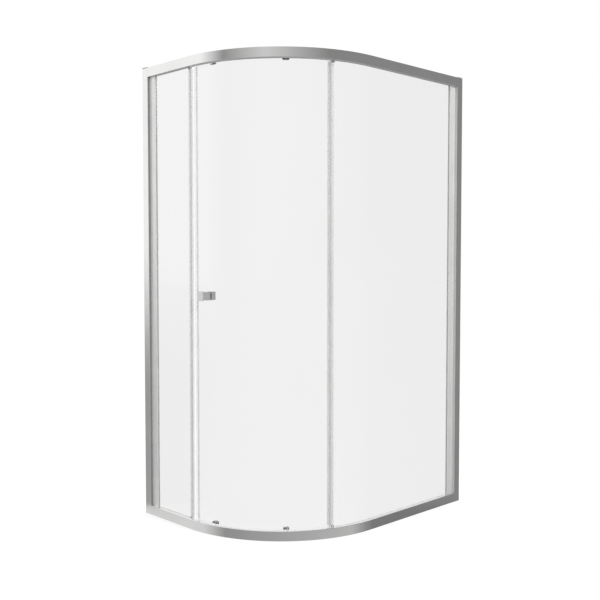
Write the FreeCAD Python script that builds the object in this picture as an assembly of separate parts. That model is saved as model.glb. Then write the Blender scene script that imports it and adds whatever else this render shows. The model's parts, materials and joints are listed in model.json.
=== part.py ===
import FreeCAD, Part
import math
import os

# Quadrant shower enclosure, in millimetres.
# The origin is the corner of the room at tray level: the left wall is the plane x = 0,
# the right wall is the plane y = 0, and +Z is up. The short straight side faces -Y, the
# long one faces +X, and a quarter circle joins them.
# Along the rails, "depth" is measured inwards from the rails' outer face.

# overall
short_side = 857.0           # left wall to the outer face of the long straight
long_side = 1157.0           # right wall to the outer face of the short straight
corner_radius = 531.0        # outer face of the bent rails
height = 1950.0

# rail extrusion, used upside down at the top
rail_height = 40.0
rail_depth = 28.0
rail_wall = 1.8
rail_floor = 2.0
track_web_level = 28.0       # web between the wheel track and the glazing groove
track_web = 2.0
track_bead_width = 2.4
track_bead_height = 2.0
wheel_line_depth = 17.0      # middle of the track bead
fin = 1.6                    # walls of the glazing groove
port_radius = 1.9            # screw ports in the rail ends
port_wall = 1.7
port_depth = 8.0
port_level = 5.2
rail_edge = 0.5
rail_foot_corner = 0.8
rail_top_corner = 1.2

# glass and its gaskets
glass = 6.0
fixed_glass_depth = 16.0     # outer face of the fixed panes
door_glass_depth = 29.0      # outer face of the door pane
gasket_leg = 1.7
gasket_base = 2.0
gasket_lip = 0.6
gasket_gap = 0.1
gasket_edge = 0.5

# wall channels and the frame profiles that slide in them
channel_width = 37.0
channel_depth = 34.0
channel_wall = 2.0
channel_edge = 0.6
channel_slide_gap = 0.2
cap_thickness = 2.5
cap_overhang = 4.0
cap_corner = 1.5
profile_wall_gap = 6.0       # profile to the back of the wall channel
profile_wall = 1.6
profile_reach = 76.0         # wall to the free edge of the frame profile
profile_nose_wall = 2.8
profile_groove = 12.0
profile_nose_corner = 1.0
wall_hole_radius = 2.75
wall_hole_inset = 150.0
wall_hole_count = 4

# door
door_start_angle = 1.8
door_end_angle = 68.8
door_top_gap = 5.0           # top of the rail to the top of the door pane
door_bottom_lap = 14.0       # door pane behind the bottom rail
roller_angles = {"lead": 12.1, "trail": 48.1}
opening_angle = 41.0
fixed_pane_end_angle = 68.65

# seals on the panes' free edges
seal_leg = 1.2
seal_web = 1.4
seal_grip = 12.0             # how far a seal reaches over the pane
seal_end_gap = 2.0           # seal to the rails
seal_edge = 0.5
fin_thickness = 1.2
fin_running_gap = 0.3
fin_end_gap = 8.0            # fins stop short of the glass clips
left_pane_edge = 8.0         # end of the left pane before the bend
left_seal_grip = 11.0
left_fin_lean = 3.0
left_fin_tip = 1.4
leading_grip = 5.0
leading_fin_reach = 15.0
leading_fin = 3.6

# glass clips on the rails
clip_width = 17.0
clip_height = 7.0
clip_thickness = 4.3
clip_glass_gap = 0.2
clip_seat_gap = 0.3          # clip to the gasket beside it
clip_edge = 0.5
clip_top_corner = 1.0

# top rollers
top_wheel_radius = 10.0      # where it rolls on the bead
wheel_flange = 1.5
wheel_width = 9.0
wheel_groove_gap = 0.8       # each side of the bead
rolling_gap = 0.3
bearing_radius = 6.5
bearing_width = 8.0
axle_radius = 3.0
axle_running_gap = 0.05
axle_head_radius = 4.2
axle_head = 3.0
axle_side_gap = 0.3
collar_radius = 5.0
glass_hole_gap = 1.5         # radial, around what passes through the glass
washer = 1.0
washer_radius = 8.0
bend_gap = 0.15              # flat pieces against the hollow side of the bent pane
carriage_width = 29.0
carriage_below_axle = 28.3
carriage_corner = 6.0
carriage_plate = 5.0
peg_radius = 3.0
peg_drop = 18.0
peg_length = 5.0
cap_nut_radius = 6.5
cap_nut = 7.0
cap_nut_wall = 1.5

# bottom rollers with their release
bottom_wheel_radius = 7.5
housing_width = 24.0
housing_depth = 13.0
housing_top = 4.0            # above the bottom rail
housing_floor_gap = 3.0
housing_wall = 2.0
housing_head = 14.0          # solid block above the slider's pocket
housing_corner = 2.0
slider_width = 16.0
slider_below_axle = 5.0
slider_above_axle = 8.0
slider_depth = 9.0
slider_gap = 0.3
button_width = 6.0
release_travel = 3.0
button_pressed_stand = 2.5   # button above its housing once pressed
slider_skin = 1.0           # left in front of the axle's end
clamp_screw_offset = 3.5
clamp_screw_radius = 2.5
clamp_screw_drop = 4.5       # below the top of the bottom rail
clamp_head_radius = 4.5
clamp_head = 1.6
clamp_washer = 0.5
clamp_thread = 9.0
spring_radius = 3.0
spring_wire = 0.8
spring_turns = 4
spring_gap = 0.05
spring_start = 48.1          # where the wire starts, about the spring's own axis

# track stops
stop_length = 9.0
stop_inner_half = 5.0        # from the wheels' line inwards
stop_edge = 0.5
stop_gap = 0.3

# handle
handle_angle = 9.07
handle_width = 31.0
handle_height = 40.0
handle_reach = 46.0
handle_plate = 5.0
handle_neck_height = 34.0
handle_base = 16.0
handle_base_height = 36.0
handle_corner = 1.5
knob_height = 35.0
knob_depth = 24.0
stud_radius = 4.0
stud_in_handle = 20.0
stud_in_knob = 14.0
handle_washer_radius = 12.0

# fasteners of the frame
screw_radius = 1.8
screw_head_radius = 3.2
screw_head = 2.4
screw_length = 18.0
lock_screw_inset = 220.0
lock_screw_head = 2.0
lock_screw_length = 6.0
lock_cap = 3.0
lock_cap_wall = 0.8
thread_gap = 0.1
cut_over = 1.0               # how far a cutting tool runs past what it cuts

# derived places
UP = FreeCAD.Vector(0, 0, 1)
first_straight = short_side - corner_radius
second_straight = long_side - corner_radius
arc_length = math.radians(90) * corner_radius
path_length = first_straight + arc_length + second_straight
front = -long_side
center = FreeCAD.Vector(first_straight, front + corner_radius, 0)
groove_outer = fixed_glass_depth - gasket_leg - gasket_gap
groove_inner = fixed_glass_depth + glass + gasket_leg + gasket_gap
groove_floor = track_web_level + track_web
port_side = port_radius + port_wall
port_inner = port_depth + port_side
pane_inset = groove_floor + gasket_base
bead_level = track_web_level - track_bead_height
rail_start = channel_width
rail_end = path_length - channel_width
pane_edge_in_profile = profile_reach - profile_groove + gasket_base
top_axle_z = height - bead_level + rolling_gap + top_wheel_radius
bottom_axle_z = bead_level - rolling_gap - bottom_wheel_radius
door_inner = door_glass_depth + glass
wheel_outer_side = wheel_line_depth - wheel_width / 2
wheel_inner_side = wheel_line_depth + wheel_width / 2
door_bottom = rail_height - door_bottom_lap
door_top = height - door_top_gap
hole_pitch = (height - 2 * wall_hole_inset) / (wall_hole_count - 1)
hole_levels = [wall_hole_inset + index * hole_pitch for index in range(wall_hole_count)]
lock_levels = [lock_screw_inset, height / 2, height - lock_screw_inset]
lock_length = (profile_wall_gap + channel_width) / 2
clamp_screw_z = rail_height - clamp_screw_drop


def vector(x, y, z=0.0):
    return FreeCAD.Vector(x, y, z)


def rounded_wire(corners):
    """Closed wire through (point, radius) corners, with an arc where the radius isn't 0."""
    edges = []
    starts = []
    ends = []
    for index, (point, radius) in enumerate(corners):
        before = corners[index - 1][0]
        after = corners[(index + 1) % len(corners)][0]
        if radius <= 0:
            starts.append(point)
            ends.append(point)
            continue
        toward_before = (before - point).normalize()
        toward_after = (after - point).normalize()
        half = toward_before.getAngle(toward_after) / 2
        run = radius / math.tan(half)
        middle_way = (toward_before + toward_after).normalize()
        start = point + toward_before * run
        end = point + toward_after * run
        middle = point + middle_way * (radius / math.sin(half) - radius)
        edges.append(Part.Arc(start, middle, end).toShape())
        starts.append(start)
        ends.append(end)
    for index, end in enumerate(ends):
        following = starts[(index + 1) % len(starts)]
        if end.distanceToPoint(following) > 1e-6:
            edges.append(Part.LineSegment(end, following).toShape())
    return Part.Wire(Part.__sortEdges__(edges))


def section_wire(corners):
    """Corners (depth, level) or (depth, level, radius) as a wire in the plane x = 0."""
    listed = []
    for corner in corners:
        radius = corner[2] if len(corner) > 2 else 0
        listed.append((vector(0, corner[0], corner[1]), radius))
    return rounded_wire(listed)


def section_face(corners, holes=()):
    outer = Part.Face(section_wire(corners))
    for hole in holes:
        outer = outer.cut(Part.Face(hole))
    return outer.Faces[0]


def box_corners(depth_low, depth_high, low, high, radius=0.0):
    return [(depth_low, low, radius), (depth_high, low, radius),
            (depth_high, high, radius), (depth_low, high, radius)]


def at_angle(shape, angle):
    """A shape made at the start of the bend, turned about the bend's centre."""
    turned = shape.copy()
    turned.rotate(center, UP, angle)
    return turned


def angle_at(length, depth=0.0):
    return math.degrees(length / (corner_radius - depth))


def arc_sweep(face, start_angle, end_angle):
    """A section (depth, level) swept about the bend's centre."""
    placed = face.copy()
    placed.translate(vector(first_straight, front))
    placed = at_angle(placed, start_angle)
    return placed.revolve(center, UP, end_angle - start_angle)


def path_sweep(face, start, end):
    """A section (depth, level) swept along the rails' path, between two lengths on it."""
    pieces = []
    bend_end = first_straight + arc_length
    if start < first_straight:
        run = face.copy()
        run.translate(vector(start, front))
        pieces.append(run.extrude(vector(min(end, first_straight) - start, 0)))
    if start < bend_end and end > first_straight:
        low = max(start, first_straight) - first_straight
        high = min(end, bend_end) - first_straight
        pieces.append(arc_sweep(face, angle_at(low), angle_at(high)))
    if end > bend_end:
        run = face.copy()
        run.translate(vector(first_straight, front))
        run = at_angle(run, 90)
        begin = max(start, bend_end)
        run.translate(vector(0, begin - bend_end))
        pieces.append(run.extrude(vector(0, end - begin)))
    whole = pieces[0]
    for piece in pieces[1:]:
        whole = whole.fuse(piece)
    return whole.removeSplitter()


def plan_prism(corners, low, high):
    """Corners (length, depth[, radius]) beside the left wall, stood up as a prism."""
    listed = []
    for corner in corners:
        radius = corner[2] if len(corner) > 2 else 0
        listed.append((vector(corner[0], front + corner[1], low), radius))
    return Part.Face(rounded_wire(listed)).extrude(UP * (high - low))


def to_right(shape):
    """What is made at the left wall, mirrored to the right wall."""
    mirrored = shape.mirror(vector(0, 0), vector(1, 1).normalize())
    mirrored.translate(vector(short_side - long_side, 0))
    return mirrored


def path_point(length, depth, level):
    """A point on the straight beside the left wall."""
    return vector(length, front + depth, level)


def radial_cylinder(angle, level, radius, depth_low, depth_high, offset=0.0):
    """A cylinder square to the rails at an angle of the bend."""
    base = vector(first_straight + offset, front + depth_low, level)
    rod = Part.makeCylinder(radius, depth_high - depth_low, base, vector(0, 1))
    return at_angle(rod, angle)


def ring(angle, level, outer, inner, depth_low, depth_high, offset=0.0):
    disc = radial_cylinder(angle, level, outer, depth_low, depth_high, offset)
    return disc.cut(radial_cylinder(angle, level, inner, depth_low, depth_high, offset))


def radial_block(angle, left, right, depth_low, depth_high, low, high, corner=0.0):
    """A block in the bend's local frame, its face rounded at the corners."""
    listed = []
    for across, level in ((left, low), (right, low), (right, high), (left, high)):
        point = vector(first_straight + across, front + depth_low, level)
        listed.append((point, corner))
    face = Part.Face(rounded_wire(listed))
    return at_angle(face.extrude(vector(0, depth_high - depth_low)), angle)


def arc_band(start_angle, end_angle, depth_low, depth_high, low, high):
    face = section_face(box_corners(depth_low, depth_high, low, high))
    return arc_sweep(face, start_angle, end_angle)


def fused(shapes):
    whole = shapes[0]
    for shape in shapes[1:]:
        whole = whole.fuse(shape)
    return whole.removeSplitter()


def rail_section():
    """The extrusion as it lies on the tray; the wheels run inside, under the bead."""
    bead_low = wheel_line_depth - track_bead_width / 2
    bead_high = wheel_line_depth + track_bead_width / 2
    bead_round = track_bead_width / 3
    outline = [
        (0, 0, rail_foot_corner), (rail_depth, 0, rail_edge), (rail_depth, rail_floor, rail_edge),
        (port_inner, rail_floor), (port_inner, port_level + port_side),
        (rail_wall, port_level + port_side), (rail_wall, track_web_level),
        (bead_low, track_web_level), (bead_low, bead_level, bead_round),
        (bead_high, bead_level, bead_round), (bead_high, track_web_level),
        (groove_inner + fin, track_web_level), (groove_inner + fin, rail_height, rail_edge),
        (groove_inner, rail_height, rail_edge), (groove_inner, groove_floor),
        (groove_outer, groove_floor), (groove_outer, rail_height, rail_edge),
        (0, rail_height, rail_top_corner)]
    cap_level = rail_height - rail_wall
    upper_port = (groove_floor + cap_level) / 2
    holes = []
    for level in (port_level, upper_port):
        circle = Part.makeCircle(port_radius, vector(0, port_depth, level), vector(1, 0))
        holes.append(Part.Wire(circle))
    return section_face(outline, holes), (port_level, upper_port)


def upside_down(shape):
    """What belongs to the bottom rail, turned over for the top rail."""
    return shape.mirror(vector(0, 0, height / 2), UP)


rail_face, port_levels = rail_section()
parts = {}


def make_frame():
    parts["bottom_rail"] = path_sweep(rail_face, rail_start, rail_end)
    parts["top_rail"] = upside_down(parts["bottom_rail"])

    outer = channel_depth
    channel = plan_prism([
        (0, 0), (channel_width, 0, channel_edge), (channel_width, channel_wall, channel_edge),
        (channel_wall, channel_wall), (channel_wall, outer - channel_wall),
        (channel_width, outer - channel_wall, channel_edge), (channel_width, outer, channel_edge),
        (0, outer)], 0, height)
    for level in hole_levels:
        base = path_point(-cut_over, channel_depth / 2, level)
        channel = channel.cut(Part.makeCylinder(wall_hole_radius, channel_wall + 2 * cut_over,
                                                base, vector(1, 0)))
    for level in lock_levels:
        base = path_point(lock_length, channel_depth - channel_wall - cut_over, level)
        channel = channel.cut(Part.makeCylinder(screw_radius + thread_gap,
                                                channel_wall + 2 * cut_over, base, vector(0, 1)))
    parts["wall_channel_left"] = channel
    parts["wall_channel_right"] = to_right(channel)

    cap = plan_prism(
        [(0, -cap_overhang, 0), (channel_width, -cap_overhang, cap_corner),
         (channel_width, channel_depth, cap_corner), (0, channel_depth, 0)],
        height, height + cap_thickness)
    parts["channel_cap_left"] = cap
    parts["channel_cap_right"] = to_right(cap)

    profile = make_profile()
    parts["frame_profile_left"] = profile
    parts["frame_profile_right"] = to_right(profile)


def make_profile():
    """A square tube inside the wall channel, with a slimmer nose that holds the pane."""
    tube_low = channel_wall + channel_slide_gap
    tube_high = channel_depth - tube_low
    nose_low = groove_outer - profile_nose_wall
    nose_high = groove_inner + profile_nose_wall
    tube = plan_prism([(profile_wall_gap, tube_low), (channel_width, tube_low),
                       (channel_width, tube_high), (profile_wall_gap, tube_high)], 0, height)
    tube_hollow = plan_prism([
        (profile_wall_gap + profile_wall, tube_low + profile_wall),
        (channel_width - profile_wall, tube_low + profile_wall),
        (channel_width - profile_wall, tube_high - profile_wall),
        (profile_wall_gap + profile_wall, tube_high - profile_wall)], 0, height)
    nose = plan_prism([(channel_width, nose_low), (profile_reach, nose_low, profile_nose_corner),
                       (profile_reach, nose_high, profile_nose_corner),
                       (channel_width, nose_high)], rail_height, height - rail_height)
    groove_start = profile_reach - profile_groove
    nose_hollow = plan_prism([
        (channel_width + profile_wall, nose_low + profile_wall),
        (groove_start - profile_wall, nose_low + profile_wall),
        (groove_start - profile_wall, nose_high - profile_wall),
        (channel_width + profile_wall, nose_high - profile_wall)], 0, height)
    groove_end = profile_reach + cut_over
    groove = plan_prism([(groove_start, groove_outer), (groove_end, groove_outer),
                         (groove_end, groove_inner), (groove_start, groove_inner)], 0, height)
    profile = tube.fuse(nose).removeSplitter().cut(tube_hollow).cut(nose_hollow).cut(groove)
    for place in rail_screw_places():
        base = path_point(channel_width - profile_wall - cut_over, place[0], place[1])
        profile = profile.cut(Part.makeCylinder(screw_radius + thread_gap,
                                                profile_wall + 2 * cut_over, base, vector(1, 0)))
    for level in lock_levels:
        base = path_point(lock_length, tube_high - profile_wall - cut_over, level)
        profile = profile.cut(Part.makeCylinder(screw_radius + thread_gap,
                                                profile_wall + 2 * cut_over, base, vector(0, 1)))
    return profile


def rail_screw_places():
    """Depth and level of the screws that hold the rails to a frame profile."""
    places = []
    for level in port_levels:
        places.append((port_depth, level))
        places.append((port_depth, height - level))
    return places


def make_panes():
    low = pane_inset
    high = height - pane_inset
    left_end = first_straight - left_pane_edge
    pane = section_face(box_corners(fixed_glass_depth, fixed_glass_depth + glass, low, high))
    parts["fixed_glass_left"] = path_sweep(pane, pane_edge_in_profile, left_end)
    right_start = first_straight + arc_length * fixed_pane_end_angle / 90
    right_end = path_length - pane_edge_in_profile
    parts["fixed_glass_right"] = path_sweep(pane, right_start, right_end)

    outer = groove_outer + gasket_gap / 2
    inner = groove_inner - gasket_gap / 2
    lip = rail_height + gasket_lip
    leg_outer = fixed_glass_depth - gasket_gap
    leg_inner = fixed_glass_depth + glass + gasket_gap
    gasket = section_face([
        (outer, groove_floor), (inner, groove_floor), (inner, lip, gasket_edge),
        (leg_inner, lip, gasket_edge), (leg_inner, pane_inset), (leg_outer, pane_inset),
        (leg_outer, lip, gasket_edge), (outer, lip, gasket_edge)])
    left_gasket = path_sweep(gasket, profile_reach, left_end)
    right_gasket = path_sweep(gasket, right_start, path_length - profile_reach)
    bottom = [left_gasket, right_gasket]
    parts["rail_gaskets_bottom"] = Part.makeCompound(bottom)
    parts["rail_gaskets_top"] = Part.makeCompound([upside_down(piece) for piece in bottom])

    infill = section_face([
        (outer, groove_floor), (inner, groove_floor), (inner, rail_height, gasket_edge),
        (outer, rail_height, gasket_edge)])
    strip = path_sweep(infill, left_end + gasket_gap, right_start - gasket_gap)
    parts["infill_strip_bottom"] = strip
    parts["infill_strip_top"] = upside_down(strip)

    start = profile_reach - profile_groove
    side_lip = profile_reach + gasket_lip
    side_gasket = plan_prism([
        (start, outer), (side_lip, outer, gasket_edge), (side_lip, leg_outer, gasket_edge),
        (pane_edge_in_profile, leg_outer), (pane_edge_in_profile, leg_inner),
        (side_lip, leg_inner, gasket_edge), (side_lip, inner, gasket_edge), (start, inner)],
        lip + gasket_gap, height - lip - gasket_gap)
    parts["profile_gasket_left"] = side_gasket
    parts["profile_gasket_right"] = to_right(side_gasket)


def make_fixed_seals():
    """Edge seals of the two fixed panes, each with a fin towards the door."""
    low = rail_height + clip_height + seal_end_gap
    high = height - low
    pane_inner = fixed_glass_depth + glass
    outer_face = fixed_glass_depth - gasket_gap - seal_leg
    inner_face = pane_inner + gasket_gap + seal_leg
    edge = first_straight - left_pane_edge
    tip_end = edge + seal_web + left_fin_lean
    fin_tip = door_glass_depth - seal_leg - fin_running_gap
    seal = plan_prism([
        (edge - left_seal_grip, outer_face, seal_edge), (edge + seal_web, outer_face, seal_edge),
        (edge + seal_web, pane_inner), (tip_end, fin_tip), (tip_end - left_fin_tip, fin_tip),
        (edge + seal_web - fin_thickness, inner_face),
        (edge - left_seal_grip, inner_face, seal_edge),
        (edge - left_seal_grip, pane_inner + gasket_gap),
        (edge + gasket_gap, pane_inner + gasket_gap),
        (edge + gasket_gap, fixed_glass_depth - gasket_gap),
        (edge - left_seal_grip, fixed_glass_depth - gasket_gap)], low, high)
    parts["fixed_edge_seal_left"] = seal

    start = fixed_pane_end_angle - angle_at(gasket_gap + seal_web)
    web_end = fixed_pane_end_angle - angle_at(gasket_gap)
    grip_end = fixed_pane_end_angle + angle_at(seal_grip)
    fin_end = start + angle_at(fin_thickness)
    pieces = [
        arc_band(start, grip_end, outer_face, fixed_glass_depth - gasket_gap, low, high),
        arc_band(start, grip_end, pane_inner + gasket_gap, inner_face, low, high),
        arc_band(start, web_end, outer_face, inner_face, low, high),
        arc_band(start, fin_end, pane_inner, fin_tip, low + fin_end_gap,
                 high - fin_end_gap)]
    parts["fixed_edge_seal_right"] = fused(pieces)


def make_clips():
    """Clips on the rails' inner fins, behind the free corners of the fixed panes."""
    inner = fixed_glass_depth + glass + clip_glass_gap
    outer = inner + clip_thickness
    step = rail_height + gasket_lip + clip_seat_gap
    top = rail_height + clip_height
    seat = groove_inner + clip_seat_gap
    face = section_face([(seat, rail_height), (outer, rail_height, clip_edge),
                         (outer, top, clip_top_corner), (inner, top, clip_top_corner),
                         (inner, step), (seat, step)])
    left_end = first_straight - left_pane_edge
    left = path_sweep(face, left_end - clip_width, left_end)
    right_start = fixed_pane_end_angle
    right = arc_sweep(face, right_start, right_start + angle_at(clip_width))
    parts["glass_clip_left_bottom"] = left
    parts["glass_clip_left_top"] = upside_down(left)
    parts["glass_clip_right_bottom"] = right
    parts["glass_clip_right_top"] = upside_down(right)


def make_stops():
    """Rubber blocks in the tracks, just past the wheels' end positions."""
    for name, radius, flip in (("track_stops_bottom", bottom_wheel_radius, False),
                               ("track_stops_top", top_wheel_radius, True)):
        reach = radius + wheel_flange + stop_gap
        closed_end = roller_angles["lead"] - angle_at(reach, wheel_line_depth)
        opened_start = (roller_angles["trail"] + opening_angle
                        + angle_at(reach, wheel_line_depth))
        face = section_face(box_corners(port_inner + stop_gap,
                                        wheel_line_depth + stop_inner_half,
                                        rail_floor, bead_level - stop_gap, stop_edge))
        closed_length = first_straight + math.radians(closed_end) * corner_radius
        opened_length = first_straight + math.radians(opened_start) * corner_radius
        blocks = [path_sweep(face, closed_length - stop_length, closed_length),
                  path_sweep(face, opened_length, opened_length + stop_length)]
        if flip:
            blocks = [upside_down(block) for block in blocks]
        parts[name] = Part.makeCompound(blocks)


def screw(base, direction, head_radius, head, shank_radius, length):
    """A screw whose head's underside is at base; the shank goes along direction."""
    shank = Part.makeCylinder(shank_radius, length, base, direction)
    top = Part.makeCylinder(head_radius, head, base - direction * head, direction)
    return top.fuse(shank)


def make_frame_fasteners():
    along = vector(1, 0)
    left = []
    for depth, level in rail_screw_places():
        base = path_point(channel_width - profile_wall, depth, level)
        left.append(screw(base, along, screw_head_radius, screw_head, screw_radius,
                          screw_length))
    right = [to_right(piece) for piece in left]
    parts["rail_end_screws"] = Part.makeCompound(left + right)

    outward = vector(0, -1)
    screws = []
    caps = []
    for level in lock_levels:
        base = path_point(lock_length, channel_depth, level)
        screws.append(screw(base, outward, screw_head_radius, lock_screw_head, screw_radius,
                            lock_screw_length))
        cup = Part.makeCylinder(screw_head_radius + gasket_gap + lock_cap_wall, lock_cap,
                                base, vector(0, 1))
        room = Part.makeCylinder(screw_head_radius + gasket_gap, lock_cap - lock_cap_wall,
                                 base, vector(0, 1))
        caps.append(cup.cut(room))
    parts["lock_screws"] = Part.makeCompound(screws + [to_right(piece) for piece in screws])
    parts["lock_screw_caps"] = Part.makeCompound(caps + [to_right(piece) for piece in caps])


def make_door():
    pane = section_face(box_corners(door_glass_depth, door_inner, door_bottom, door_top))
    door = arc_sweep(pane, door_start_angle, door_end_angle)
    peg_z = top_axle_z - peg_drop
    for angle in roller_angles.values():
        door = door.cut(pane_hole(angle, top_axle_z, axle_radius))
        door = door.cut(pane_hole(angle, peg_z, peg_radius))
        door = door.cut(pane_hole(angle, clamp_screw_z, clamp_screw_radius,
                                  -clamp_screw_offset))
    door = door.cut(pane_hole(handle_angle, height / 2, stud_radius))
    parts["door_glass"] = door

    low = rail_height + seal_end_gap
    high = height - low
    outer_face = door_glass_depth - seal_leg
    inner_leg = door_inner + gasket_gap
    inner_face = inner_leg + seal_leg
    middle = (door_glass_depth + door_inner) / 2
    web_end = door_start_angle - angle_at(gasket_gap, door_glass_depth)
    web_start = web_end - angle_at(seal_web, door_glass_depth)
    grip_end = door_start_angle + angle_at(leading_grip, door_glass_depth)
    fin_start = web_start - angle_at(leading_fin_reach, door_glass_depth)
    parts["door_leading_seal"] = fused([
        arc_band(web_start, grip_end, outer_face, door_glass_depth - gasket_gap, low, high),
        arc_band(web_start, grip_end, inner_leg, inner_face, low, high),
        arc_band(web_start, web_end, outer_face, inner_face, low, high),
        arc_band(fin_start, web_end, middle - leading_fin / 2, middle + leading_fin / 2,
                 low, high)])

    web_start = door_end_angle + angle_at(gasket_gap, door_glass_depth)
    web_end = web_start + angle_at(seal_web, door_glass_depth)
    grip_start = door_end_angle - angle_at(seal_grip - seal_web, door_glass_depth)
    fin_tip = fixed_glass_depth + glass + gasket_gap + seal_leg + fin_running_gap
    parts["door_trailing_seal"] = fused([
        arc_band(grip_start, web_end, outer_face, door_glass_depth - gasket_gap, low, high),
        arc_band(grip_start, web_end, inner_leg, inner_face, low, high),
        arc_band(web_start, web_end, outer_face, inner_face, low, high),
        arc_band(web_end - angle_at(fin_thickness, door_glass_depth), web_end,
                 fin_tip, door_glass_depth - gasket_gap, low + fin_end_gap,
                 high - fin_end_gap)])


def pane_hole(angle, level, radius, offset=0.0):
    return radial_cylinder(angle, level, radius + glass_hole_gap, door_glass_depth - cut_over,
                           door_inner + cut_over, offset)


def make_wheel(angle, level, rolling_radius):
    """A grooved nylon tyre that straddles the bead, on a ball bearing."""
    flange_radius = rolling_radius + wheel_flange
    groove_half = track_bead_width / 2 + wheel_groove_gap
    tyre = radial_cylinder(angle, level, flange_radius, wheel_outer_side, wheel_inner_side)
    groove = ring(angle, level, flange_radius + cut_over, rolling_radius,
                  wheel_line_depth - groove_half, wheel_line_depth + groove_half)
    bore = radial_cylinder(angle, level, bearing_radius, wheel_outer_side, wheel_inner_side)
    bearing = ring(angle, level, bearing_radius - axle_running_gap,
                   axle_radius + axle_running_gap, wheel_line_depth - bearing_width / 2,
                   wheel_line_depth + bearing_width / 2)
    return tyre.cut(groove).cut(bore), bearing


def make_top_rollers():
    washers = []
    nuts = []
    plate_depth = door_inner + bend_gap + washer
    nut_depth = plate_depth + carriage_plate
    head_end = wheel_outer_side - axle_side_gap
    collar_start = wheel_inner_side + axle_side_gap
    collar_end = door_glass_depth - washer
    for name, angle in roller_angles.items():
        tyre, bearing = make_wheel(angle, top_axle_z, top_wheel_radius)
        parts["top_wheel_" + name] = tyre
        parts["top_bearing_" + name] = bearing
        parts["top_axle_" + name] = fused([
            radial_cylinder(angle, top_axle_z, axle_head_radius, head_end - axle_head,
                            head_end),
            radial_cylinder(angle, top_axle_z, axle_radius, head_end,
                            nut_depth + cap_nut - cap_nut_wall),
            radial_cylinder(angle, top_axle_z, collar_radius, collar_start, collar_end)])
        for start in (collar_end, door_inner + bend_gap):
            washers.append(ring(angle, top_axle_z, washer_radius,
                                axle_radius + thread_gap, start, start + washer))
        parts["top_carriage_" + name] = make_carriage(angle, plate_depth)
        nut = radial_cylinder(angle, top_axle_z, cap_nut_radius, nut_depth,
                              nut_depth + cap_nut)
        rim = max(nut.Edges, key=lambda edge: edge_depth(edge, angle))
        nut = nut.makeFillet(cap_nut_radius / 3, [rim])
        nuts.append(nut.cut(radial_cylinder(
            angle, top_axle_z, axle_radius + thread_gap, nut_depth,
            nut_depth + cap_nut - cap_nut_wall + thread_gap)))
    parts["top_glass_washers"] = Part.makeCompound(washers)
    parts["top_cap_nuts"] = Part.makeCompound(nuts)


def edge_depth(edge, angle):
    """How far inside the rails' outer face an edge lies, at an angle of the bend."""
    turned = at_angle(edge, -angle)
    return turned.BoundBox.YMin


def make_carriage(angle, plate_depth):
    """A rounded plate on the inside of the pane, with a peg that stops it turning."""
    block = radial_block(angle, -carriage_width / 2, carriage_width / 2, plate_depth,
                         plate_depth + carriage_plate, top_axle_z - carriage_below_axle,
                         door_top, carriage_corner)
    peg = radial_cylinder(angle, top_axle_z - peg_drop, peg_radius, plate_depth - peg_length,
                          plate_depth)
    hole = radial_cylinder(angle, top_axle_z, axle_radius + thread_gap,
                           plate_depth - cut_over, plate_depth + carriage_plate + cut_over)
    return block.fuse(peg).removeSplitter().cut(hole)


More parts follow.
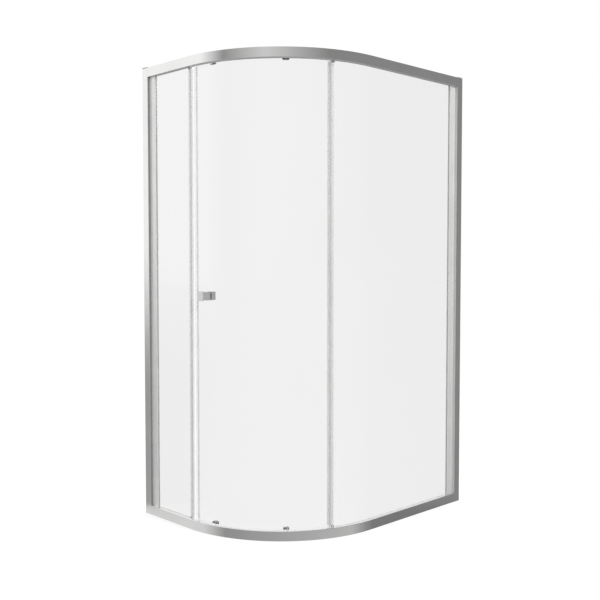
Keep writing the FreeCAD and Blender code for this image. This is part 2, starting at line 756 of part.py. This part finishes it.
def make_bottom_rollers():
    screws = []
    washers = []
    near = door_inner + bend_gap + washer
    top = rail_height + housing_top
    pocket_top = top - housing_head
    slider_low = bottom_axle_z - slider_below_axle
    slider_high = bottom_axle_z + slider_above_axle
    button_right = slider_width / 2
    button_left = button_right - button_width
    button_top = top + button_pressed_stand + release_travel
    axle_room_end = near + slider_gap + slider_depth - slider_skin
    head_end = wheel_outer_side - axle_side_gap
    collar_start = wheel_inner_side + axle_side_gap
    for name, angle in roller_angles.items():
        tyre, bearing = make_wheel(angle, bottom_axle_z, bottom_wheel_radius)
        parts["bottom_wheel_" + name] = tyre
        parts["bottom_bearing_" + name] = bearing

        half = housing_width / 2
        housing = radial_block(angle, -half, half, near, near + housing_depth,
                               housing_floor_gap, top, housing_corner)
        pocket_half = slider_width / 2 + slider_gap
        pocket = radial_block(angle, -pocket_half, pocket_half, near,
                              near + slider_depth + 2 * slider_gap,
                              housing_floor_gap + housing_wall, pocket_top)
        passage = radial_block(angle, button_left - slider_gap, pocket_half, near,
                               near + slider_depth + 2 * slider_gap,
                               pocket_top - cut_over, top + cut_over)
        thread = radial_cylinder(angle, clamp_screw_z, clamp_screw_radius + thread_gap,
                                 near, near + clamp_thread, -clamp_screw_offset)
        parts["bottom_housing_" + name] = housing.cut(pocket).cut(passage).cut(thread)

        body = radial_block(angle, -slider_width / 2, slider_width / 2, near + slider_gap,
                            near + slider_gap + slider_depth, slider_low, slider_high)
        stem = radial_block(angle, button_left, button_right, near + slider_gap,
                            near + slider_gap + slider_depth, slider_high, button_top)
        slider = body.fuse(stem).removeSplitter()
        slider = slider.cut(radial_cylinder(angle, bottom_axle_z, axle_radius + thread_gap,
                                            near, axle_room_end))
        parts["release_slider_" + name] = slider
        parts["bottom_axle_" + name] = fused([
            radial_cylinder(angle, bottom_axle_z, axle_head_radius, head_end - axle_head,
                            head_end),
            radial_cylinder(angle, bottom_axle_z, axle_radius, head_end,
                            axle_room_end - thread_gap),
            radial_cylinder(angle, bottom_axle_z, collar_radius, collar_start,
                            near + slider_gap - thread_gap)])
        parts["release_spring_" + name] = make_spring(angle, near, slider_low)

        head_start = door_glass_depth - clamp_washer
        shank = radial_cylinder(angle, clamp_screw_z, clamp_screw_radius, head_start,
                                near + clamp_thread - thread_gap, -clamp_screw_offset)
        head = radial_cylinder(angle, clamp_screw_z, clamp_head_radius,
                               head_start - clamp_head, head_start, -clamp_screw_offset)
        screws.append(head.fuse(shank))
        for start, end in ((head_start, door_glass_depth), (door_inner + bend_gap, near)):
            washers.append(ring(angle, clamp_screw_z, clamp_head_radius,
                                clamp_screw_radius + thread_gap, start, end,
                                -clamp_screw_offset))
    parts["housing_screws"] = Part.makeCompound(screws)
    parts["housing_washers"] = Part.makeCompound(washers)


def make_spring(angle, near, slider_low):
    """A compression spring under the slider, on the floor of the housing's pocket."""
    low = housing_floor_gap + housing_wall + spring_gap
    rise = slider_low - spring_gap - low - spring_wire
    path = Part.makeHelix(rise / spring_turns, rise, spring_radius)
    circle = Part.Wire(Part.makeCircle(spring_wire / 2, vector(spring_radius, 0),
                                       vector(0, 1)))
    coil = Part.Wire(path).makePipeShell([circle], True, True)
    coil.rotate(vector(0, 0), UP, spring_start - angle)
    coil.translate(vector(first_straight, front + near + slider_gap + slider_depth / 2,
                          low + spring_wire / 2))
    return at_angle(coil, angle)


def make_handle():
    level = height / 2
    half = handle_width / 2
    outer = door_glass_depth - washer - handle_reach
    plate_end = outer + handle_plate
    base_start = door_glass_depth - washer - handle_base

    def block(depth_low, depth_high, tall):
        return radial_block(handle_angle, -half, half, depth_low, depth_high,
                            level - tall / 2, level + tall / 2, handle_corner)

    grip = fused([block(outer, plate_end, handle_height),
                  block(plate_end, base_start, handle_neck_height),
                  block(base_start, door_glass_depth - washer, handle_base_height)])
    stud_start = door_glass_depth - washer - stud_in_handle
    grip = grip.cut(radial_cylinder(handle_angle, level, stud_radius + thread_gap,
                                    stud_start - thread_gap, door_glass_depth))
    parts["handle_outer"] = grip

    knob_start = door_inner + bend_gap + washer
    knob = block(knob_start, knob_start + knob_depth, knob_height)
    stud_end = knob_start + stud_in_knob
    parts["handle_inner"] = knob.cut(radial_cylinder(
        handle_angle, level, stud_radius + thread_gap, knob_start - cut_over,
        stud_end + thread_gap))
    parts["handle_stud"] = radial_cylinder(handle_angle, level, stud_radius, stud_start,
                                           stud_end)
    rings = []
    for start, end in ((door_glass_depth - washer, door_glass_depth),
                       (door_inner + bend_gap, knob_start)):
        rings.append(ring(handle_angle, level, handle_washer_radius,
                          stud_radius + thread_gap, start, end))
    parts["handle_washers"] = Part.makeCompound(rings)


def main():
    make_frame()
    make_panes()
    make_fixed_seals()
    make_clips()
    make_stops()
    make_frame_fasteners()
    make_door()
    make_top_rollers()
    make_bottom_rollers()
    make_handle()
    os.makedirs("parts", exist_ok=True)
    for name, shape in parts.items():
        shape.exportStep("parts/" + name + ".step")
        print(name, len(shape.Solids), shape.isValid(), round(shape.Volume, 1))


main()
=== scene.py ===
import json
import math

import bmesh
import bpy
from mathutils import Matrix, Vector


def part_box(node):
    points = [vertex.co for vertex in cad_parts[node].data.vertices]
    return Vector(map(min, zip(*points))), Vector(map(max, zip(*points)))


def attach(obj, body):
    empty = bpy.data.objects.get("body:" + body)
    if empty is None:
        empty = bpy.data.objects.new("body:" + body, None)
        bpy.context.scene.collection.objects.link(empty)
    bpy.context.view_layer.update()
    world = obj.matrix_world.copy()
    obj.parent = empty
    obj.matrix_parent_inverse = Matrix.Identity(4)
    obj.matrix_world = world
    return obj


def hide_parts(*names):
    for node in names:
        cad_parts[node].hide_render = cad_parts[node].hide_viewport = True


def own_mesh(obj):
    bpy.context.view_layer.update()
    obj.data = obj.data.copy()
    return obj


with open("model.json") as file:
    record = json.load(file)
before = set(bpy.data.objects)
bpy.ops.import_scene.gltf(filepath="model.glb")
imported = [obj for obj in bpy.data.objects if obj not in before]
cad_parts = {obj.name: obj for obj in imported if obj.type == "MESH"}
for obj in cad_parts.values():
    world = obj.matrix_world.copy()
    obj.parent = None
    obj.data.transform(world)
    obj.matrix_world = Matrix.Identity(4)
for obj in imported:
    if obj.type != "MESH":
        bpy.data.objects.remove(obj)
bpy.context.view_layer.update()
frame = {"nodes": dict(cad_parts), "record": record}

# ---------------------------------------------------------------- camera
camera_place = (3.1614, -3.2891, 1.1175)
camera_tilt = 2.62          # degrees below the horizon
camera_heading = 45.667     # degrees from +Y towards -X
camera_lens = 51.26         # mm on a film 36 mm wide
camera_film = 36.0

# ---------------------------------------------------------------- studio
# What polished metal sees round the enclosure, by azimuth in degrees from +X towards +Y. The tones blend
# evenly from one place to the next: a light wall, a dark flag, a softbox, and a dark wall with a pale card
# on the floor before it.
card_start = 90             # the azimuth at which the round starts and ends
light_wall_start = 200
light_wall_end = 235
dark_flag = 260
softbox = 300
dark_wall = 360
floor_card = 385
floor_card_end = 410
overhead = {"light_wall": 0.95, "dark_flag": 0.30, "softbox": 0.65, "dark_wall": 0.25}
underfoot = {"light_wall": 0.70, "dark_flag": 0.30, "floor_card": 0.50, "dark_wall": 0.20}
haze = {"light_wall": 0.35, "softbox": 0.45, "dark_wall": 0.25}
high_edge = 0.04            # sine of elevation above which only overhead counts
haze_top = -0.15            # below this and above the next, only the haze near the floor's horizon
haze_bottom = -0.272
low_edge = -0.2765          # below this, only what lies on the floor
room_light = 0.90           # what diffuse surfaces get from all sides
key_power = 16.0
key_size = 2.0
key_place = (0.6, -3.2, 3.4)
fill_power = 60.0
fill_size = 2.0
fill_place = (3.6, 0.4, 3.4)
aim = (0.43, -0.58, 0.98)
floor_size = 60.0
floor_albedo = 0.40
floor_glow = 0.64           # brings the lit floor up to the white of the backdrop


def add_node(tree, kind, inputs=None, **settings):
    """A node whose inputs are set to a value, or linked where an output socket is given."""
    made = tree.nodes.new(kind)
    for key, value in settings.items():
        setattr(made, key, value)
    for key, value in (inputs or {}).items():
        if isinstance(value, bpy.types.NodeSocket):
            tree.links.new(value, made.inputs[key])
        else:
            made.inputs[key].default_value = value
    return made


def add_math(tree, operation, first, second=0.0):
    return add_node(tree, "ShaderNodeMath", {0: first, 1: second}, operation=operation).outputs[0]


def add_ramp(tree, source, stops):
    """A colour ramp whose stops are (place, grey or colour)."""
    ramp = add_node(tree, "ShaderNodeValToRGB", {"Fac": source})
    elements = ramp.color_ramp.elements
    while len(elements) > 1:
        elements.remove(elements[-1])
    for index, (place, tone) in enumerate(stops):
        element = elements[0] if index == 0 else elements.new(place)
        element.position = place
        element.color = (tone, tone, tone, 1) if isinstance(tone, float) else (*tone, 1)
    return ramp.outputs["Color"]


def add_range(tree, value, low, high):
    """0 below low, 1 above high, smooth between them."""
    made = add_node(tree, "ShaderNodeMapRange", {"Value": value, "From Min": low, "From Max": high},
                    interpolation_type="SMOOTHSTEP")
    return made.outputs["Result"]


def add_mix(tree, share, first, second):
    made = add_node(tree, "ShaderNodeMix", {0: share, 6: first, 7: second}, data_type="RGBA")
    return made.outputs[2]


def plain_view(tree, path):
    """1 for rays through glass that no metal or glass has mirrored on their way."""
    unmirrored = add_math(tree, "LESS_THAN", path["Glossy Depth"], 0.5)
    return add_math(tree, "MULTIPLY", path["Is Transmission Ray"], unmirrored)


def make_world():
    world = bpy.data.worlds.new("studio")
    bpy.context.scene.world = world
    world.use_nodes = True
    tree = world.node_tree
    tree.nodes.clear()
    direction = add_node(tree, "ShaderNodeTexCoord").outputs["Generated"]
    part = add_node(tree, "ShaderNodeSeparateXYZ", {"Vector": direction}).outputs
    turn = add_math(tree, "DIVIDE", add_math(tree, "ARCTAN2", part["Y"], part["X"]), math.tau)
    place = add_math(tree, "FRACT", add_math(tree, "SUBTRACT", turn, card_start / 360))

    def cards(*stops):
        return add_ramp(tree, place, [((azimuth - card_start) / 360, tone) for azimuth, tone in stops])

    floor_cards = cards((light_wall_start, underfoot["light_wall"]), (light_wall_end, underfoot["light_wall"]),
                        (dark_flag, underfoot["dark_flag"]), (floor_card, underfoot["floor_card"]),
                        (floor_card_end, underfoot["dark_wall"]))
    haze_cards = cards((light_wall_end, haze["light_wall"]), (softbox, haze["softbox"]),
                       (floor_card_end, haze["dark_wall"]))
    high_cards = cards((light_wall_start, overhead["light_wall"]), (light_wall_end, overhead["light_wall"]),
                       (dark_flag, overhead["dark_flag"]), (softbox, overhead["softbox"]),
                       (dark_wall, overhead["dark_wall"]))
    lower = add_mix(tree, add_range(tree, part["Z"], low_edge, haze_bottom), floor_cards, haze_cards)
    reflected = add_mix(tree, add_range(tree, part["Z"], haze_top, high_edge), lower, high_cards)
    path = add_node(tree, "ShaderNodeLightPath").outputs
    backdrop = add_math(tree, "MAXIMUM", path["Is Camera Ray"], plain_view(tree, path))
    grey = (room_light, room_light, room_light, 1.0)
    white = (1.0, 1.0, 1.0, 1.0)
    colour = add_mix(tree, backdrop, add_mix(tree, path["Is Glossy Ray"], grey, reflected), white)
    background = add_node(tree, "ShaderNodeBackground", {"Color": colour, "Strength": 1.0})
    add_node(tree, "ShaderNodeOutputWorld", {"Surface": background.outputs[0]})


def make_floor():
    bm = bmesh.new()
    half = floor_size / 2
    corners = [bm.verts.new((x * half, y * half, 0)) for x, y in ((-1, -1), (1, -1), (1, 1), (-1, 1))]
    bm.faces.new(corners)
    mesh = bpy.data.meshes.new("floor")
    bm.to_mesh(mesh)
    bm.free()
    floor = bpy.data.objects.new("floor", mesh)
    bpy.context.scene.collection.objects.link(floor)
    floor.visible_glossy = False
    material = bpy.data.materials.new("floor")
    material.use_nodes = True
    tree = material.node_tree
    tree.nodes.clear()
    path = add_node(tree, "ShaderNodeLightPath").outputs
    matt = add_node(tree, "ShaderNodeBsdfDiffuse", {"Color": (floor_albedo, floor_albedo, floor_albedo, 1)})
    glow = add_node(tree, "ShaderNodeEmission",
                    {"Strength": add_math(tree, "MULTIPLY", path["Is Camera Ray"], floor_glow)})
    lit = add_node(tree, "ShaderNodeAddShader", {0: matt.outputs[0], 1: glow.outputs[0]})
    white = add_node(tree, "ShaderNodeEmission", {"Strength": 1.0})
    surface = add_node(tree, "ShaderNodeMixShader",
                       {0: plain_view(tree, path), 1: lit.outputs[0], 2: white.outputs[0]})
    add_node(tree, "ShaderNodeOutputMaterial", {"Surface": surface.outputs[0]})
    mesh.materials.append(material)


def make_lamp(name, place, size, power):
    lamp = bpy.data.lights.new(name, "AREA")
    lamp.shape = "DISK"
    lamp.size = size
    lamp.energy = power
    item = bpy.data.objects.new(name, lamp)
    bpy.context.scene.collection.objects.link(item)
    item.location = place
    item.rotation_euler = (Vector(aim) - Vector(place)).to_track_quat("-Z", "Y").to_euler()
    item.visible_camera = False
    item.visible_glossy = False
    item.visible_transmission = False


def make_camera():
    lens = bpy.data.cameras.new("camera")
    lens.sensor_width = camera_film
    lens.lens = camera_lens
    item = bpy.data.objects.new("camera", lens)
    bpy.context.scene.collection.objects.link(item)
    item.location = camera_place
    item.rotation_euler = (math.radians(90 - camera_tilt), 0, math.radians(camera_heading))
    bpy.context.scene.camera = item


# ---------------------------------------------------------------- materials
bend_centre = (0.326, -0.626)
step_reach = 0.047          # wall to just past the step at the channels' mouths
nose_reach = 0.120          # wall to beyond the frame profiles' free ends
right_step_shade = 0.68     # share of the painted step shade at the right wall against the left one's
square_low = 0.5            # between these a face turns from slanting to square
square_high = 0.9


def new_material(name):
    material = bpy.data.materials.new(name)
    material.use_nodes = True
    material.node_tree.nodes.clear()
    return material, material.node_tree


def object_noise(tree, scale, detail=2.0, stretch=(1, 1, 1)):
    """Noise over the object's own coordinates, in waves per metre."""
    place = add_node(tree, "ShaderNodeTexCoord").outputs["Object"]
    mapped = add_node(tree, "ShaderNodeMapping", {"Vector": place, "Scale": stretch})
    noise = add_node(tree, "ShaderNodeTexNoise", {"Vector": mapped.outputs[0], "Scale": scale,
                                                 "Detail": detail})
    return noise.outputs["Fac"]


def varied(tree, noise, low, high):
    """The noise spread over low to high, which are numbers or colours."""
    if isinstance(low, float):
        made = add_node(tree, "ShaderNodeMapRange", {"Value": noise, "From Min": 0.3, "From Max": 0.7,
                                                     "To Min": low, "To Max": high})
        return made.outputs["Result"]
    return add_mix(tree, add_range(tree, noise, 0.3, 0.7), (*low, 1), (*high, 1))


def bumped(tree, noise, height):
    return add_node(tree, "ShaderNodeBump", {"Height": noise, "Distance": height,
                                             "Strength": 1.0}).outputs["Normal"]


def shiny_metal(name, dark, light, smooth, rough, grain, height, metallic=1.0):
    """Drawn metal: faint lines along the piece, in its tone, its gloss and its surface."""
    material, tree = new_material(name)
    lines = object_noise(tree, 1.0, 3.0, grain)
    cloud = object_noise(tree, 9.0, 3.0)
    surface = add_node(tree, "ShaderNodeBsdfPrincipled", {
        "Base Color": varied(tree, cloud, dark, light),
        "Metallic": metallic,
        "Roughness": varied(tree, lines, smooth, rough),
        "Normal": bumped(tree, lines, height)})
    add_node(tree, "ShaderNodeOutputMaterial", {"Surface": surface.outputs[0]})
    return material


def off_walls(tree, reach, right_share):
    """How far a face near a wall looks straight away from it, times right_share at the right wall."""
    shape = add_node(tree, "ShaderNodeNewGeometry").outputs
    place = add_node(tree, "ShaderNodeSeparateXYZ", {"Vector": shape["Position"]}).outputs
    way = add_node(tree, "ShaderNodeSeparateXYZ", {"Vector": shape["Normal"]}).outputs
    near_left = add_math(tree, "LESS_THAN", place["X"], reach)
    near_right = add_math(tree, "GREATER_THAN", place["Y"], -reach)
    left = add_math(tree, "MULTIPLY", near_left, way["X"])
    right = add_math(tree, "MULTIPLY", add_math(tree, "MULTIPLY", near_right, way["Y"]), right_share)
    return add_math(tree, "SUBTRACT", left, right)


def satin_metal(name, dark, light, painted_step_shade, pale, smooth, rough, grain, height, metallic):
    """Satin metal with painted shade on the step at the wall channels' mouths, and painted light on its free
    ends, which are pale and not metallic.
    """
    material, tree = new_material(name)
    lines = object_noise(tree, 1.0, 3.0, grain)
    # painted shade: faces on the step at the channels' mouths turn a flat dark grey, less so at the right wall
    step = add_range(tree, off_walls(tree, step_reach, right_step_shade), square_low, square_high)
    # painted light: faces at the profiles' free ends, looking straight away from the walls, take the pale
    # colour and lose their metal
    body = add_range(tree, off_walls(tree, nose_reach, 1.0), square_high, square_low)
    tone = varied(tree, object_noise(tree, 9.0, 3.0), dark, light)
    tone = add_mix(tree, body, (*pale, 1), tone)
    surface = add_node(tree, "ShaderNodeBsdfPrincipled", {
        "Base Color": add_mix(tree, step, tone, (*painted_step_shade, 1)),
        "Metallic": add_math(tree, "MULTIPLY", body, metallic),
        "Roughness": varied(tree, lines, smooth, rough),
        "Normal": bumped(tree, lines, height)})
    add_node(tree, "ShaderNodeOutputMaterial", {"Surface": surface.outputs[0]})
    return material


def moulded(name, dark, light, smooth, rough, scale, height, specular=0.4):
    """Moulded plastic or rubber with a fine texture."""
    material, tree = new_material(name)
    grain = object_noise(tree, scale, 4.0)
    cloud = object_noise(tree, 25.0, 3.0)
    surface = add_node(tree, "ShaderNodeBsdfPrincipled", {
        "Base Color": varied(tree, cloud, dark, light),
        "Specular IOR Level": specular,
        "Roughness": varied(tree, grain, smooth, rough),
        "Normal": bumped(tree, grain, height)})
    add_node(tree, "ShaderNodeOutputMaterial", {"Surface": surface.outputs[0]})
    return material


def squareness(tree):
    """1 on faces that look out of or into the enclosure, 0 on the ends and edges of a pane."""
    shape = add_node(tree, "ShaderNodeNewGeometry").outputs
    place = add_node(tree, "ShaderNodeSeparateXYZ", {"Vector": shape["Position"]}).outputs
    across = add_math(tree, "MAXIMUM", add_math(tree, "SUBTRACT", place["X"], bend_centre[0]))
    along = add_math(tree, "MINIMUM", add_math(tree, "SUBTRACT", place["Y"], bend_centre[1]))
    outward = add_node(tree, "ShaderNodeCombineXYZ", {"X": across, "Y": along}).outputs[0]
    outward = add_node(tree, "ShaderNodeVectorMath", {0: outward}, operation="NORMALIZE").outputs[0]
    both = add_node(tree, "ShaderNodeVectorMath", {0: outward, 1: shape["Normal"]},
                    operation="DOT_PRODUCT").outputs["Value"]
    return add_range(tree, add_math(tree, "ABSOLUTE", both), 0.4, 0.6)


def see_through(name, dark, light, ground, smooth, rough, scale, height, ior, shade):
    """Clear glass with ground edges. It lets the lamps' light through without a hard shadow."""
    material, tree = new_material(name)
    wave = object_noise(tree, scale, 2.0)
    surface = add_node(tree, "ShaderNodeBsdfPrincipled", {
        "Base Color": varied(tree, object_noise(tree, 3.0), dark, light),
        "Transmission Weight": 1.0,
        "IOR": ior,
        "Roughness": varied(tree, wave, smooth, rough),
        "Normal": bumped(tree, wave, height)})
    edge = add_node(tree, "ShaderNodeBsdfPrincipled", {
        "Base Color": varied(tree, object_noise(tree, 40.0), light, ground),
        "Roughness": 0.5})
    surface = add_node(tree, "ShaderNodeMixShader", {0: squareness(tree), 1: edge.outputs[0],
                                                     2: surface.outputs[0]})
    clear = add_node(tree, "ShaderNodeBsdfTransparent", {"Color": (shade, shade, shade, 1)})
    path = add_node(tree, "ShaderNodeLightPath").outputs
    passing = add_math(tree, "MAXIMUM", path["Is Shadow Ray"], path["Is Diffuse Ray"])
    mixed = add_node(tree, "ShaderNodeMixShader", {0: passing, 1: surface.outputs[0], 2: clear.outputs[0]})
    add_node(tree, "ShaderNodeOutputMaterial", {"Surface": mixed.outputs[0]})
    return material


def milky(name, dark, light, body, smooth, rough, scale, height):
    """Soft clear plastic: partly plain see-through, partly a pale glossy body."""
    material, tree = new_material(name)
    grain = object_noise(tree, scale, 3.0)
    surface = add_node(tree, "ShaderNodeBsdfPrincipled", {
        "Base Color": varied(tree, object_noise(tree, 20.0), dark, light),
        "Roughness": varied(tree, grain, smooth, rough),
        "Normal": bumped(tree, grain, height)})
    clear = add_node(tree, "ShaderNodeBsdfTransparent", {"Color": (.99, .99, .99, 1)})
    share = varied(tree, object_noise(tree, 12.0), body - 0.03, body + 0.03)
    mixed = add_node(tree, "ShaderNodeMixShader", {0: share, 1: clear.outputs[0], 2: surface.outputs[0]})
    add_node(tree, "ShaderNodeOutputMaterial", {"Surface": mixed.outputs[0]})
    return material


along_rail = (6.0, 6.0, 900.0)
along_post = (900.0, 900.0, 3.0)
every_way = (300.0, 300.0, 300.0)
finishes = {
    "rail": shiny_metal("polished_rail", (.865, .87, .865), (.905, .905, .895), .04, .09, along_rail, 2e-6),
    "post": shiny_metal("polished_post", (.865, .87, .865), (.905, .905, .895), .03, .06, along_post, 2e-6),
    # satin_aluminium: (.36, .36, .36) is painted shade on the steps at the channels' mouths
    "satin_aluminium": satin_metal("satin_aluminium", (.81, .81, .80), (.86, .86, .85), (.36, .36, .36),
                                   # (.95, .95, .94) is painted light on the profiles' free ends
                                   (.95, .95, .94), .16, .24, along_post, 4e-6, .30),
    "clear_glass": see_through("clear_glass", (.896, .898, .894), (.902, .904, .900), (.93, .94, .93), .0,
                               .004, 2.0, 1e-5, 1.37, .90),
    "edge_seal": milky("edge_seal", (.89, .90, .89), (.93, .94, .93), .36, .15, .30, 240.0, 4e-6),
    "clear_seal": milky("clear_seal", (.88, .89, .88), (.92, .93, .92), .18, .15, .30, 240.0, 4e-6),
    # painted light: the handle's front face is a less metallic copy of its sides' finish, so it reads brighter
    # than the sides
    "handle_face": shiny_metal("handle_face", (.84, .845, .85), (.88, .885, .89), .30, .38, every_way, 1e-6,
                               .5),
    "handle_side": shiny_metal("handle_side", (.90, .90, .90), (.95, .95, .95), .24, .34, every_way, 1e-6, .8),
    "pale_gasket": moulded("pale_gasket", (.86, .87, .87), (.92, .93, .93), .42, .55, 900.0, 2e-5),
    "grey_plastic": moulded("grey_plastic", (.74, .75, .76), (.80, .81, .82), .30, .42, 1500.0, 1e-5),
    "dark_plastic": moulded("dark_plastic", (.11, .112, .116), (.15, .152, .156), .30, .45, 1500.0, 1e-5),
    "mid_plastic": moulded("mid_plastic", (.27, .272, .276), (.32, .322, .326), .30, .45, 1500.0, 1e-5),
    "black_rubber": moulded("black_rubber", (.022, .022, .023), (.04, .04, .042), .55, .72, 1100.0, 3e-5),
    "nylon": moulded("nylon", (.70, .69, .66), (.78, .77, .74), .34, .46, 1400.0, 1e-5),
    "chrome": shiny_metal("chrome", (.82, .83, .84), (.88, .885, .89), .03, .07, every_way, 1e-6),
    "steel": shiny_metal("steel", (.52, .52, .52), (.60, .60, .60), .20, .32, every_way, 3e-6),
}


def finish_of(name, slot):
    if slot == "polished_aluminium":
        return finishes["rail" if "rail" in name else "post"]
    if name.startswith("fixed_edge_seal"):
        return finishes["edge_seal"]
    if name.startswith("bottom_housing"):
        return finishes["mid_plastic"]
    if name.startswith(("glass_clip", "release_slider")):
        return finishes["grey_plastic"]
    return finishes[slot]


def dress_nodes():
    """Gives every carried-over node a finish: that of its slot in the record, save where finish_of picks
    another by the node's name.
    """
    slots = {}
    for entry in frame["record"]["subparts"]:
        slots[entry["node"]] = entry["material_slot"]
    for name, item in frame["nodes"].items():
        for place in item.material_slots:
            place.material = finish_of(name, slots[name])


# ---------------------------------------------------------------- detailed pieces
# Places on the bend: across runs along it, depth goes inwards from the rails' outer face.
bend_radius = 0.531
door_face = 0.029
door_back = 0.035
washer = 0.001
bend_gap = 0.00015
handle_angle = 9.07
handle_level = 0.975
handle_width = 0.031
handle_height = 0.040
handle_reach = 0.046
handle_plate = 0.005
neck_height = 0.034
base_depth = 0.016
base_height = 0.036
knob_height = 0.035
knob_depth = 0.024
handle_corner = 0.0015
edge_bevel = 0.0007
cap_corner = 0.0015
cap_bevel = 0.0006
corner_steps = 6
wire_radius = 0.0004
wire_sides = 16
spring_radius = 0.003
spring_turns = 4
turn_steps = 24
spring_start = 48.1         # degrees from +X to the lower end of the wire


def rounded_rectangle(width, height, corner):
    """Points round a rectangle about the origin, its corners rounded."""
    points = []
    for turn, (side, rise) in enumerate(((1, 1), (-1, 1), (-1, -1), (1, -1))):
        for step in range(corner_steps + 1):
            angle = math.radians(90 * (turn + step / corner_steps))
            points.append((side * (width / 2 - corner) + corner * math.cos(angle),
                           rise * (height / 2 - corner) + corner * math.sin(angle)))
    return points


def on_bend(angle, across, depth, level):
    """A point in the bend's local frame at an angle, in the frame of the model."""
    turn = math.radians(angle)
    reach = bend_radius - depth
    return Vector((bend_centre[0] + reach * math.sin(turn) + across * math.cos(turn),
                   bend_centre[1] - reach * math.cos(turn) + across * math.sin(turn), level))


def loft(name, rings, bands, body, slot, *replaced):
    """A closed piece through rings of points; bands names the finish of each band, in order."""
    bm = bmesh.new()
    rows = [[bm.verts.new(point) for point in ring] for ring in rings]
    count = len(rows[0])
    used = sorted(set(bands))
    for row, (first, second) in enumerate(zip(rows, rows[1:])):
        for index in range(count):
            following = (index + 1) % count
            face = bm.faces.new((first[index], first[following], second[following], second[index]))
            face.material_index = used.index(bands[row])
    for row, finish in ((rows[0], bands[0]), (rows[-1], bands[-1])):
        bm.faces.new(row).material_index = used.index(finish)
    bmesh.ops.recalc_face_normals(bm, faces=bm.faces)
    mesh = bpy.data.meshes.new(name)
    bm.to_mesh(mesh)
    bm.free()
    for finish in used:
        mesh.materials.append(finishes[finish])
    mesh.shade_smooth()
    piece = bpy.data.objects.new(name, mesh)
    bpy.context.scene.collection.objects.link(piece)
    hard = piece.modifiers.new("hard edges", "EDGE_SPLIT")
    hard.split_angle = math.radians(25)
    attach(piece, body)
    if replaced:
        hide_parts(*replaced)
    return piece


def bend_rings(angle, level, sections):
    """Rings square to the rails for (depth, width, height, corner) sections."""
    rings = []
    for depth, width, height, corner in sections:
        rings.append([on_bend(angle, across, depth, level + rise)
                      for across, rise in rounded_rectangle(width, height, corner)])
    return rings


def bevelled(start, end, width, height, corner, bevel):
    """Sections of a block between two depths whose front and back edges are bevelled."""
    inner = (width - 2 * bevel, height - 2 * bevel, corner)
    outer = (width, height, corner)
    return [(start, *inner), (start + bevel, *outer), (end - bevel, *outer), (end, *inner)]


def make_handle():
    glass_side = door_face - washer
    front = glass_side - handle_reach
    plate_end = front + handle_plate
    base_start = glass_side - base_depth
    sections = bevelled(front, plate_end, handle_width, handle_height, handle_corner, edge_bevel)
    sections += bevelled(plate_end, base_start, handle_width, neck_height, handle_corner, edge_bevel)
    sections += bevelled(base_start, glass_side, handle_width, base_height, handle_corner, edge_bevel)
    # the front face takes the painted-light copy of the handle's finish
    bands = ["handle_face"] + ["handle_side"] * (len(sections) - 2)
    loft("handle_grip", bend_rings(handle_angle, handle_level, sections), bands, "door", "chrome",
         "handle_outer")
    start = door_back + bend_gap + washer
    sections = bevelled(start, start + knob_depth, handle_width, knob_height, handle_corner, edge_bevel)
    loft("handle_knob", bend_rings(handle_angle, handle_level, sections),
         ["handle_side"] * (len(sections) - 1), "door", "chrome", "handle_inner")


def make_caps():
    """Plastic caps on the wall channels, their upper edges eased."""
    for side in ("left", "right"):
        low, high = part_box("channel_cap_" + side)
        width = high[0] - low[0]
        length = high[1] - low[1]
        rings = []
        for level, inset in ((low[2], 0.0), (high[2] - cap_bevel, 0.0), (high[2], cap_bevel)):
            outline = rounded_rectangle(width - 2 * inset, length - 2 * inset, cap_corner)
            rings.append([Vector(((low[0] + high[0]) / 2 + across, (low[1] + high[1]) / 2 + along, level))
                          for across, along in outline])
        loft("cap_" + side, rings, ["grey_plastic"] * 2, "frame", "grey_plastic", "channel_cap_" + side)


def make_springs():
    """Coils under the release sliders, which shorten as their button goes down."""
    for side in ("lead", "trail"):
        low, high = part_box("release_spring_" + side)
        middle = Vector(((low[0] + high[0]) / 2, (low[1] + high[1]) / 2, low[2] + wire_radius))
        rise = high[2] - low[2] - 2 * wire_radius
        steps = spring_turns * turn_steps
        rings = []
        for step in range(steps + 1):
            turn = math.radians(spring_start) + math.tau * step / turn_steps
            outward = Vector((math.cos(turn), math.sin(turn), 0))
            centre = middle + spring_radius * outward + Vector((0, 0, rise * step / steps))
            rings.append([centre + wire_radius * (math.cos(angle) * outward + Vector((0, 0, math.sin(angle))))
                          for angle in (math.tau * index / wire_sides for index in range(wire_sides))])
        piece = loft("spring_" + side, rings, ["steel"] * steps, "release_" + side, "steel",
                     "release_spring_" + side)
        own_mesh(piece)


make_world()
make_floor()
make_lamp("key", key_place, key_size, key_power)
make_lamp("fill", fill_place, fill_size, fill_power)
make_camera()
dress_nodes()
make_handle()
make_caps()
make_springs()
bpy.context.scene.view_settings.view_transform = "Standard"
